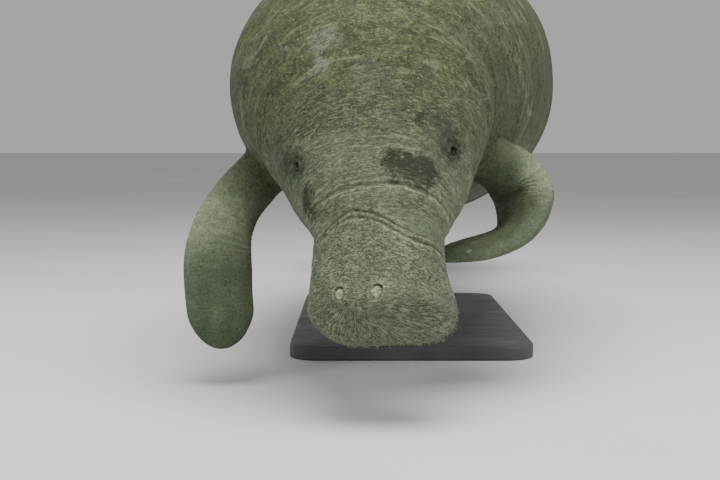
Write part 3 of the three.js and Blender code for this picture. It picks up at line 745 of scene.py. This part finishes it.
ray_centre, ray_tail, ray_across, ray_out = local_axes(*RAYS_FROM)
from_centre = smooth_mm - ray_centre
reach = np.linalg.norm(from_centre, axis=-1)
downward = -(from_centre @ ray_tail) - 0.8 * (from_centre @ ray_out)
ridge, valley_shade = crease_light_and_shade()
plug, slit_shades = nostril_marks()
behind_lip, lip_weight = mouth(place, angle)
# Painted shade along the groove under the lip
slit_shades += is_body * lip_weight * bell(behind_lip, 3.5)
attributes = {
    "along": on_body(leaning(place, angle), LIMB_ALONG + along_limb) * MM,
    "limb": on_body(0.0, 1.0),
    "muzzle": on_body(1 - smoothstep(place + MAIN_CREASE[1] * arch(angle), 180, 202)),
    "ray_turn": np.arctan2(from_centre @ ray_across, downward),
    "ray_reach": reach * MM,
    "disc": on_body((1 - smoothstep(place, 36, 70)) * smoothstep(reach, 26, 56)),
    "head": on_body(smoothstep(place, 150, 190) * (1 - smoothstep(place, 330, 430))),
    "crown": on_body(smoothstep(place + 8 * waver, 262, 345), 1 - smoothstep(along_limb, 30, 170)),
    "neck": on_body(smoothstep(place, 320, 400) * (1 - smoothstep(place, 900, 1300))),
    # Painted shade of the eye sockets, over darker skin
    "socket": np.clip(1.1 * round_marks(SOCKET_MARKS), 0, 1),
    "elbow": on_body(0.0, bell(along_limb - 190, 62)),
    # Painted highlights on the brow folds
    "brow": np.clip(brow_highlights(), 0, 1),
    "stain": np.clip(round_marks(STAIN_MARKS), 0, 1),
    "worn": np.clip(round_marks(WORN_MARKS), 0, 1),
    # Painted highlights on the crests beside the head's creases
    "ridge": np.clip(ridge, 0, 1),
    "plug": np.clip(plug, 0, 1),
    # Painted shade in each nostril slit, the lip groove and the crease bottoms
    "slit": np.clip(slit_shades + 0.5 * valley_shade, 0, 1),
}
for name, values in attributes.items():
    layer = body.data.attributes.new(name, "FLOAT", "POINT")
    layer.data.foreach_set("value", np.asarray(values, dtype=np.float32))


# Materials
def from_screen(*rgb):
    """Linear colour of a screen colour from 0 to 255."""
    return tuple(((c / 255 + 0.055) / 1.055) ** 2.4 if c > 10 else c / 255 / 12.92 for c in rgb)


class Maker:
    """Adds nodes to a material and joins them."""

    def __init__(self, name):
        self.material = bpy.data.materials.new(name)
        self.material.use_nodes = True
        self.nodes = self.material.node_tree.nodes
        self.links = self.material.node_tree.links
        self.shader = self.nodes["Principled BSDF"]
        texture_place = self.node("TexCoord")
        self.place = texture_place.outputs["Object"]
        self.normal = texture_place.outputs["Normal"]

    def value(self, socket, wanted):
        if isinstance(wanted, bpy.types.NodeSocket):
            self.links.new(wanted, socket)
        elif wanted is not None:
            socket.default_value = wanted

    def node(self, kind, **inputs):
        """A new node, with values or links for its inputs by name."""
        node = self.nodes.new("ShaderNode" + kind)
        for name, wanted in inputs.items():
            self.value(node.inputs[name], wanted)
        return node

    def shade(self, name, wanted):
        self.links.new(wanted, self.shader.inputs[name])

    def attribute(self, name):
        node = self.node("Attribute")
        node.attribute_name = name
        return node.outputs["Fac"]

    def attributes(self, *names):
        return [self.attribute(name) for name in names]

    def math(self, operation, a, b=None, clamp=False):
        node = self.node("Math")
        node.operation = operation
        node.use_clamp = clamp
        self.value(node.inputs[0], a)
        self.value(node.inputs[1], b)
        return node.outputs[0]

    def plus(self, a, b):
        return self.math("ADD", a, b)

    def minus(self, a, b, clamp=False):
        return self.math("SUBTRACT", a, b, clamp)

    def times(self, a, b):
        return self.math("MULTIPLY", a, b)

    def most(self, a, b):
        return self.math("MAXIMUM", a, b)

    def parts(self, vector):
        return self.node("SeparateXYZ", Vector=vector).outputs

    def joined(self, *parts):
        return self.node("CombineXYZ", **dict(zip("XYZ", parts))).outputs[0]

    def stretched(self, along, across):
        """A place whose first part runs along the body or limb, for lines that go round it."""
        parts = self.parts(self.place)
        far = self.times(self.attribute("along"), along)
        return self.joined(far, self.times(parts["X"], across), self.times(parts["Z"], across))

    def rays(self, along, around):
        """A place that turns round the point between the nostrils, for lines that spread from it."""
        reach, turn = self.attributes("ray_reach", "ray_turn")
        return self.joined(self.times(reach, along), self.times(turn, around))

    def scaled(self, factors):
        return self.node("Mapping", Scale=factors, Vector=self.place).outputs[0]

    def noise(self, scale, detail=4, rough=0.55, distortion=0.0, vector=None):
        inputs = {"Scale": scale, "Detail": detail, "Roughness": rough, "Distortion": distortion}
        return self.node("TexNoise", **inputs, Vector=vector or self.place).outputs["Fac"]

    def lines(self, vector, width, detail=3):
        """Thin broken lines where the noise passes its middle: 1 on a line and 0 between lines."""
        noise = self.noise(1.0, detail, 0.55, 0.0, vector)
        off = self.math("ABSOLUTE", self.minus(noise, 0.5))
        return self.ramp(off, [(0.0, 1.0), (width, 0.0)])

    def cells(self, scale):
        return self.node("TexVoronoi", Scale=scale, Vector=self.place).outputs["Distance"]

    def ramp(self, fac, stops):
        node = self.node("ValToRGB", Fac=fac)
        node.color_ramp.interpolation = "EASE"
        while len(node.color_ramp.elements) < len(stops):
            node.color_ramp.elements.new(0.5)
        for element, (at, colour) in zip(node.color_ramp.elements, stops):
            element.position = at
            element.color = (*colour, 1) if isinstance(colour, tuple) else (colour, colour, colour, 1)
        return node.outputs[0]

    def fade(self, fac, start, end, top):
        """Nothing up to the start, and the top from the end on."""
        return self.ramp(fac, [(start, 0.0), (end, top)])

    def tones(self, fac, *stops):
        """A ramp whose stops are a place and a screen colour."""
        return self.ramp(fac, [(at, from_screen(*colour)) for at, *colour in stops])

    def edge(self, mask, ragged, level):
        """A soft mask turned into a patch with a ragged edge."""
        total = self.plus(self.times(mask, 0.6), self.times(self.minus(ragged, 0.5), 3.4))
        inside = self.fade(mask, 0.08, 0.3, 1.0)
        return self.times(self.fade(total, level - 0.2, level + 0.35, 1.0), inside)

    def mix(self, fac, a, b, how="MIX"):
        node = self.node("Mix")
        node.data_type = "RGBA"
        node.blend_type = how
        self.value(node.inputs[0], fac)
        for socket, wanted in ((node.inputs[6], a), (node.inputs[7], b)):
            self.value(socket, (*wanted, 1) if isinstance(wanted, tuple) else wanted)
        return node.outputs[2]

    def bump(self, height, distance, strength, normal=None):
        node = self.node("Bump", Strength=strength, Distance=distance, Height=height, Normal=normal)
        return node.outputs[0]


ALGAE_DARK = from_screen(40, 44, 24)
ALGAE_PALE = from_screen(140, 141, 96)
STAIN = from_screen(40, 45, 28)
STREAK = from_screen(136, 138, 108)
MARK_DARK = from_screen(42, 48, 36)
MARK_PALE = from_screen(156, 162, 136)
# Painted shade for the muzzle's down-facing front
DISC_SHADE = from_screen(44, 50, 36)
FLECK = from_screen(150, 154, 126)
SPECK = from_screen(46, 52, 36)
# Painted shade in creases
CREASE_SHADE = from_screen(48, 55, 38)
CREASE_PALE = from_screen(160, 164, 134)
# Painted highlight on fold crests
CREST_HIGHLIGHT = from_screen(164, 168, 134)
# Painted highlight on the brow folds
BROW_HIGHLIGHT = from_screen(140, 146, 118)
# Painted shade round the eyes, over darker skin
SOCKET_SKIN_AND_SHADE = from_screen(43, 52, 45)
# Painted shade in each slit and groove
SLIT_SHADE = from_screen(20, 24, 18)
PATCH_STRETCH = (1.0, 0.5, 1.0)


def bare_hide(m, up):
    """Grey hide, paler over the head and muzzle, with painted highlights on the upward-facing tops of the
    elbows.
    """
    head, muzzle, elbow = m.attributes("head", "muzzle", "elbow")
    back = m.tones(m.noise(9, 5, 0.6, 0.4), (0.3, 71, 82, 61), (0.55, 89, 100, 76), (0.75, 108, 118, 91))
    front = m.noise(34, 5, 0.65, 0.3)
    front = m.tones(front, (0.3, 96, 106, 80), (0.5, 115, 125, 98), (0.72, 138, 146, 118))
    colour = m.mix(m.most(muzzle, m.times(head, 0.8)), back, front)
    # Painted highlight: the elbow's top is made pale where it faces up, as if lit from above
    worn = m.times(elbow, m.fade(up, 0.36, 0.72, 0.95))
    return m.mix(worn, colour, m.tones(m.noise(60, 5, 0.7), (0.3, 122, 134, 104), (0.7, 158, 168, 138)))


def add_algae(m, colour, up, patches):
    """Algae over the crown, neck and back, with fuzzy dark and yellow patches. Also gives its cover."""
    crown = m.attribute("crown")
    mottle = m.noise(44, 9, 0.84, 0.5, patches)
    green = m.tones(mottle, (0.34, 36, 45, 24), (0.46, 60, 71, 38), (0.55, 80, 90, 52), (0.68, 112, 119, 78))
    yellow = m.tones(mottle, (0.36, 66, 68, 38), (0.64, 126, 125, 84))
    gold = m.fade(m.noise(5.5, 4, 0.6, 0.5, patches), 0.46, 0.66, 0.42)
    cover = m.times(crown, m.ramp(up, [(0.12, 0.0), (0.5, 0.6), (0.85, 1.0)]))
    thin = m.ramp(m.noise(5.5, 7, 0.72, 0.8, patches), [(0.34, 0.3), (0.48, 1.0)])
    cover = m.times(cover, thin)
    colour = m.mix(cover, colour, m.mix(gold, green, yellow))
    tufts = m.ramp(m.noise(120, 5, 0.85, 0.3, patches), [(0.4, 0.8), (0.52, 0.0)])
    colour = m.mix(m.times(tufts, crown), colour, ALGAE_DARK)
    tips = m.fade(m.noise(150, 4, 0.8, 0.3, patches), 0.53, 0.66, 0.6)
    return m.mix(m.times(tips, cover), colour, ALGAE_PALE), cover


def add_scrapes(m, colour, patches, ragged):
    """Bare patches where the algae has been rubbed off."""
    crown, worn = m.attributes("crown", "worn")
    scraped = m.fade(m.noise(8.5, 7, 0.7, 1.4, patches), 0.61, 0.66, 0.8)
    scraped = m.most(m.times(scraped, crown), m.edge(worn, ragged, 0.33))
    tone = m.tones(m.noise(90, 4, 0.7), (0.3, 108, 113, 93), (0.7, 132, 136, 116))
    return m.mix(m.times(scraped, 0.8), colour, tone)


def stain_mask(m, ragged):
    """Dark stains of the forehead, and faint ones on the limbs."""
    head, limb_mask, stain = m.attributes("head", "limb", "stain")
    faint = m.fade(m.noise(15, 7, 0.78, 0.9), 0.58, 0.68, 0.55)
    faint = m.times(faint, m.most(head, m.times(limb_mask, 0.4)))
    return m.most(faint, m.times(m.edge(stain, ragged, 0.3), 0.95))


def add_streaks(m, colour):
    """Pale streaks that go round the neck and shoulders."""
    streaks = m.noise(1.0, 5, 0.65, 0.0, m.stretched(46, 8))
    streaks = m.times(m.fade(streaks, 0.56, 0.68, 0.55), m.attribute("neck"))
    return m.mix(streaks, colour, STREAK)


def muzzle_marks(m):
    """Masks of the dark and the pale marks: round the upper muzzle, and as rays over its front."""
    muzzle, disc = m.attributes("muzzle", "disc")
    upper_muzzle = m.minus(muzzle, disc, True)
    around = m.times(m.lines(m.stretched(240, 80), 0.06), upper_muzzle)
    down = m.times(m.lines(m.rays(42, 15), 0.08, 4), disc)
    pale_around = m.times(m.lines(m.stretched(170, 120), 0.03), upper_muzzle)
    pale_down = m.times(m.lines(m.rays(50, 20), 0.045, 4), disc)
    return m.plus(around, down), m.plus(m.times(pale_around, 0.4), m.times(pale_down, 0.5))


# Lines of the creases on the head, limbs and neck: grooves in the bump, and painted shade in the colour
def crease_mask(m):
    head, limb_mask, neck = m.attributes("head", "limb", "neck")
    fine = m.times(m.lines(m.stretched(200, 34), 0.05), m.most(head, m.times(limb_mask, 0.35)))
    crossing = m.times(m.lines(m.stretched(110, 70), 0.035), m.plus(m.times(head, 0.6), 0.25))
    folds = m.times(m.lines(m.stretched(70, 11), 0.02), m.plus(m.times(neck, 0.6), 0.4))
    return m.most(m.most(fine, crossing), folds)


def add_features(m, colour):
    """Painted highlights on fold crests and brow folds, painted shade round the eyes over darker skin, pale
    nostril valves, and painted shade in each slit and groove.
    """
    ridges, brow, socket, valve, slit = m.attributes("ridge", "brow", "socket", "plug", "slit")
    # Patchy breakup of the painted highlights below
    worn = m.fade(m.noise(95, 7, 0.82), 0.42, 0.56, 0.95)
    # Painted highlights on the crests beside the creases
    colour = m.mix(m.times(m.times(ridges, worn), 0.6), colour, CREST_HIGHLIGHT)
    # Painted highlights on the brow folds
    colour = m.mix(m.times(m.times(brow, worn), 0.6), colour, BROW_HIGHLIGHT)
    # Painted shade of the deep-set eye sockets over darker skin, mottled by noise
    socket_skin_and_shade = m.times(socket, m.ramp(m.noise(60, 5, 0.7), [(0.34, 0.4), (0.6, 0.88)]))
    colour = m.mix(socket_skin_and_shade, colour, SOCKET_SKIN_AND_SHADE)
    valve_tone = m.tones(m.noise(210, 4, 0.75), (0.38, 126, 136, 102), (0.6, 204, 208, 160))
    colour = m.mix(m.times(valve, 0.85), colour, valve_tone)
    # Painted shade in each nostril slit, the lip groove and the crease bottoms
    return m.mix(m.times(slit, 0.92), colour, SLIT_SHADE)


def fine_relief(m, grain, marks, cover, creases):
    """Normal of the pebbled and fuzzy skin, its creases and its soft folds."""
    pebbles = m.minus(1.0, m.cells(230))
    height = m.plus(m.times(pebbles, m.plus(0.5, m.attribute("muzzle"))), m.times(grain, 1.3))
    height = m.minus(height, m.times(marks, 1.6))
    fuzz = m.times(m.noise(120, 7, 0.82), m.times(cover, 2.4))
    pebbled = m.bump(m.plus(height, fuzz), 0.0016, 0.8)
    creased = m.bump(m.minus(1.0, creases), 0.0018, 0.8, pebbled)
    soft_folds = m.noise(1.0, 4, 0.6, 0.0, m.stretched(26, 5))
    return m.bump(soft_folds, 0.012, 0.5, creased)


def skin_material():
    m = Maker("hide")
    up = m.plus(m.times(m.parts(m.normal)["Z"], 0.5), 0.5)
    patches = m.scaled(PATCH_STRETCH)
    ragged = m.noise(46, 9, 0.82, 0.6)
    colour, cover = add_algae(m, bare_hide(m, up), up, patches)
    colour = add_scrapes(m, colour, patches, ragged)
    stains = stain_mask(m, ragged)
    colour = add_streaks(m, m.mix(stains, colour, STAIN))

    grain = m.noise(260, 5, 0.75)
    colour = m.mix(1.0, colour, m.ramp(grain, [(0.34, 0.42), (0.5, 0.9), (0.62, 1.0)]), "MULTIPLY")
    marks, pale_marks = muzzle_marks(m)
    colour = m.mix(m.times(marks, 0.7), colour, MARK_DARK)
    # Painted shade: the muzzle's down-facing front is darkened a little, most away from the point between
    # the nostrils
    colour = m.mix(m.times(m.attribute("disc"), 0.14), colour, DISC_SHADE)
    colour = m.mix(pale_marks, colour, MARK_PALE)
    colour = m.mix(m.fade(m.noise(190, 3, 0.7), 0.6, 0.72, 0.42), colour, FLECK)
    colour = m.mix(m.ramp(m.noise(110, 5, 0.8), [(0.32, 0.6), (0.42, 0.0)]), colour, SPECK)

    creases = crease_mask(m)
    # Painted shade in the creases
    colour = m.mix(m.times(creases, 0.55), colour, CREASE_SHADE)
    pale_lines = m.times(m.lines(m.stretched(160, 26), 0.025), m.minus(m.attribute("head"), stains, True))
    colour = m.mix(m.times(pale_lines, 0.42), colour, CREASE_PALE)
    m.shade("Base Color", add_features(m, colour))
    m.shade("Roughness", m.ramp(m.noise(30, 4, 0.6), [(0.3, 0.62), (0.7, 0.85)]))
    m.shader.inputs["Specular IOR Level"].default_value = 0.3
    m.shade("Normal", fine_relief(m, grain, marks, cover, creases))
    return m.material


def eye_material():
    m = Maker("wet_eye")
    m.shade("Base Color", m.tones(m.noise(260, 3, 0.5), (0.35, 16, 13, 10), (0.7, 34, 26, 18)))
    m.shader.inputs["Roughness"].default_value = 0.16
    m.shader.inputs["Specular IOR Level"].default_value = 0.35
    return m.material


def nail_material():
    m = Maker("horn")
    streak = m.noise(1.0, 4, 0.6, 0.0, m.scaled((420, 420, 90)))
    m.shade("Base Color", m.tones(streak, (0.3, 84, 84, 66), (0.7, 124, 120, 96)))
    m.shade("Roughness", m.ramp(m.noise(200, 3), [(0.3, 0.42), (0.7, 0.6)]))
    m.shade("Normal", m.bump(streak, 0.0006, 0.5))
    return m.material


def stand_material():
    m = Maker("stand_paint")
    m.shade("Base Color", m.tones(m.noise(6, 6, 0.65), (0.3, 58, 60, 62), (0.75, 74, 76, 77)))
    m.shade("Roughness", m.ramp(m.noise(18, 5, 0.7), [(0.3, 0.42), (0.7, 0.58)]))
    m.shade("Normal", m.bump(m.noise(900, 3, 0.6), 0.0003, 0.25))
    return m.material


def bristle_material():
    m = Maker("bristles")
    m.shade("Base Color", m.tones(m.noise(60, 3), (0.3, 88, 94, 68), (0.7, 150, 152, 118)))
    m.shade("Roughness", m.ramp(m.noise(90, 2), [(0.3, 0.5), (0.7, 0.7)]))
    return m.material


def floor_material():
    m = Maker("pale_floor")
    m.shade("Base Color", m.ramp(m.noise(0.6, 3), [(0.3, (0.60, 0.61, 0.60)), (0.7, (0.64, 0.65, 0.64))]))
    m.shader.inputs["Roughness"].default_value = 0.9
    return m.material


def give(piece, material):
    piece.data.materials.clear()
    piece.data.materials.append(material)


def shade_smooth(piece):
    for polygon in piece.data.polygons:
        polygon.use_smooth = True


FLESH = ["snout", "lower_jaw", "head", "neck", "chest", "belly", "loin", "tail_stock", "tail_paddle"]
FLESH += [f"flipper_{side}_{part}" for side in FLIPPERS for part in ("arm", "blade")]
shade_smooth(body)
give(body, skin_material())
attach(body, "root")
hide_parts(*FLESH)

node_materials = {"eye_": eye_material(), "nail_": nail_material(), "stand_": stand_material()}
for name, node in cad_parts.items():
    for start, material in node_materials.items():
        if name.startswith(start):
            give(node, material)
    if name.startswith(("eye_", "nail_")):
        shade_smooth(node)

# Bristles of the lips and of the muzzle's front: count, places, degrees, length, thickness, lean
BRISTLES = [
    (300, (14, 40), (-140, -20), 7.5, 0.55, 0.35),
    (60, (28, 60), (-26, -4), 4.5, 0.45, 0.35),
    (60, (28, 60), (184, 206), 4.0, 0.45, 0.35),
    (420, (6, 34), (-170, -8), 2.8, 0.36, 0.3),
    (700, (6, 50), (0, 180), 2.0, 0.28, 0.3),
]
BRISTLE_RINGS = ((-0.15, 1.0), (0.5, 0.75))
BRISTLE_POINTS = 3 * len(BRISTLE_RINGS) + 1
BRISTLE_BEND = 0.25
UV_MARGIN = 0.01
UV_PATCH = 0.0015
random = np.random.default_rng(5)


def bristle_shape(root, direction, length, thick):
    """Points of a tapered three-sided bristle that bends a little: two rings and a tip."""
    direction = unit(direction)
    side = unit(np.cross(direction, [0.3, 0.5, 0.8]))
    other = np.cross(direction, side)
    sideways, otherways = (random.uniform(-BRISTLE_BEND, BRISTLE_BEND) for _ in range(2))
    bend = (side * sideways + other * otherways) * length
    shape = []
    for share, size in BRISTLE_RINGS:
        ring_middle = root + direction * length * share + bend * max(share, 0) ** 2
        for k in range(3):
            turn = 2 * math.pi * k / 3
            shape.append(ring_middle + (side * math.cos(turn) + other * math.sin(turn)) * thick * size)
    return [*shape, root + direction * length + bend]


def bristle_sides(start):
    """Faces of the bristle whose first point has this index."""
    faces = []
    for k in range(3):
        n = (k + 1) % 3
        faces.append((start + k, start + n, start + 3 + n, start + 3 + k))
        faces.append((start + 3 + k, start + 3 + n, start + 6))
    return [*faces, (start + 2, start + 1, start)]


def sow(count, places, angles, length, thick, lean):
    """Bristles at random over a stretch of the skin: the points of each, and its spot on the map."""
    at = random.uniform(*places, count)
    degrees = random.uniform(*angles, count)
    turn = np.radians(degrees)
    roots = body_point(at, turn)
    normals = smooth_normal(at, turn)
    tails, _, ups = frame_at(at)
    for i in range(count):
        direction = normals[i] - tails[i] * lean - ups[i] * lean * 0.6 + random.normal(0, 0.18, 3)
        size = random.uniform(0.7, 1.25)
        shape = bristle_shape(roots[i], direction, length * size, thick * size)
        yield shape, ((degrees[i] % 360) / 360, at[i] / LENGTH)


bristle_points, bristle_faces, bristle_spots = [], [], []
for row in BRISTLES:
    for shape, spot in sow(*row):
        bristle_faces += bristle_sides(len(bristle_points))
        bristle_points += shape
        bristle_spots.append(spot)
bristles = new_piece("bristles", np.array(bristle_points) * MM, bristle_faces)
uv = bristles.data.uv_layers.new(name="OFBake")
for loop in bristles.data.loops:
    vertex = loop.vertex_index
    turn = (vertex % BRISTLE_POINTS) / BRISTLE_POINTS * 2 * math.pi
    u, v = (part * (1 - 2 * UV_MARGIN) + UV_MARGIN for part in bristle_spots[vertex // BRISTLE_POINTS])
    uv.data[loop.index].uv = (u + UV_PATCH * math.cos(turn), v + UV_PATCH * math.sin(turn))
give(bristles, bristle_material())
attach(bristles, "root")

# Floor and light
FLOOR_HALF = 70
FLOOR_CORNERS = [(-1, -1, 0), (1, -1, 0), (1, 1, 0), (-1, 1, 0)]
WORLD_COLOUR = (0.80, 0.84, 0.84, 1)
WORLD_STRENGTH = 0.55

# Place, target, side, power, colour
LIGHTS = {
    "overhead": ((0.2, -0.8, 4.0), (0, -0.3, 0.5), 3.2, 260, (1.0, 1.0, 0.97)),
    "front_left": ((-2.4, -3.4, 2.0), (-0.1, -0.9, 0.45), 1.6, 46, (0.97, 1.0, 0.98)),
    "front_right": ((2.2, -2.8, 1.4), (0.0, -0.8, 0.4), 1.4, 30, (0.98, 1.0, 1.0)),
}

floor = new_piece("floor", np.array(FLOOR_CORNERS) * FLOOR_HALF, [(0, 1, 2, 3)])
give(floor, floor_material())

world = bpy.data.worlds.new("studio")
bpy.context.scene.world = world
world.use_nodes = True
background = world.node_tree.nodes["Background"]
background.inputs["Color"].default_value = WORLD_COLOUR
background.inputs["Strength"].default_value = WORLD_STRENGTH

for name, (light_place, target, light_side, power, colour) in LIGHTS.items():
    lamp = bpy.data.lights.new(name, "AREA")
    lamp.shape = "RECTANGLE"
    lamp.size, lamp.size_y = light_side, light_side
    lamp.energy = power
    lamp.color = colour
    holder = bpy.data.objects.new(name, lamp)
    bpy.context.scene.collection.objects.link(holder)
    holder.location = light_place
    holder.rotation_euler = (Vector(target) - Vector(light_place)).to_track_quat("-Z", "Y").to_euler()
